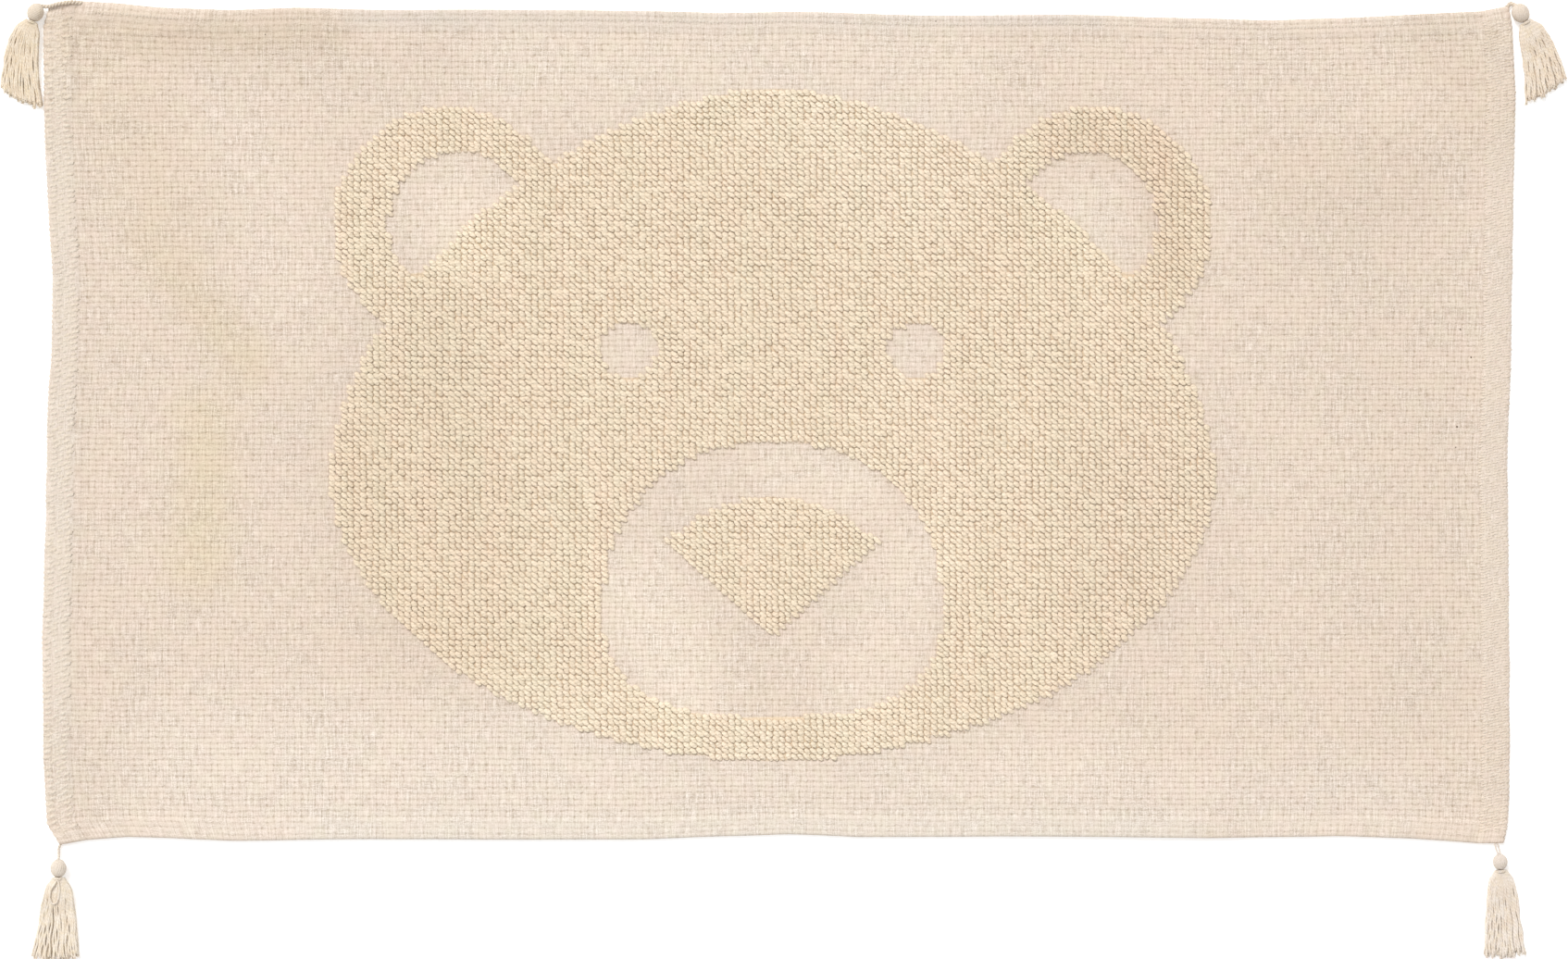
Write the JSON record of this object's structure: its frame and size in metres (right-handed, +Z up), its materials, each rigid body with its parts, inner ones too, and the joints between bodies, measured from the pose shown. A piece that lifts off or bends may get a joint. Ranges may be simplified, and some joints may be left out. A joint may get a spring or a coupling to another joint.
{
  "type": "kids rug with a bear face",
  "caption": "Flat rectangular kids rug in natural cotton: a bear face in raised weft loops, turned hems and a yarn tassel at each corner.",
  "frame": {"origin": "on the floor, in the middle of the whole footprint, tassels included", "axes": "+X along the rug, to the right of the bear as seen from above; +Y across it, towards the bear's ears; +Z up out of the pile"},
  "size_m": [1.2856, 0.7884, 0.0128],
  "materials": {
    "cotton_weave": "matte",
    "tassel_yarn": "matte"
  },
  "bodies": {
    "root": {"rug_cloth": "cotton_weave", "tassel_far_left": "tassel_yarn", "tassel_far_right": "tassel_yarn", "tassel_near_left": "tassel_yarn", "tassel_near_right": "tassel_yarn"}
  },
  "joints": []
}
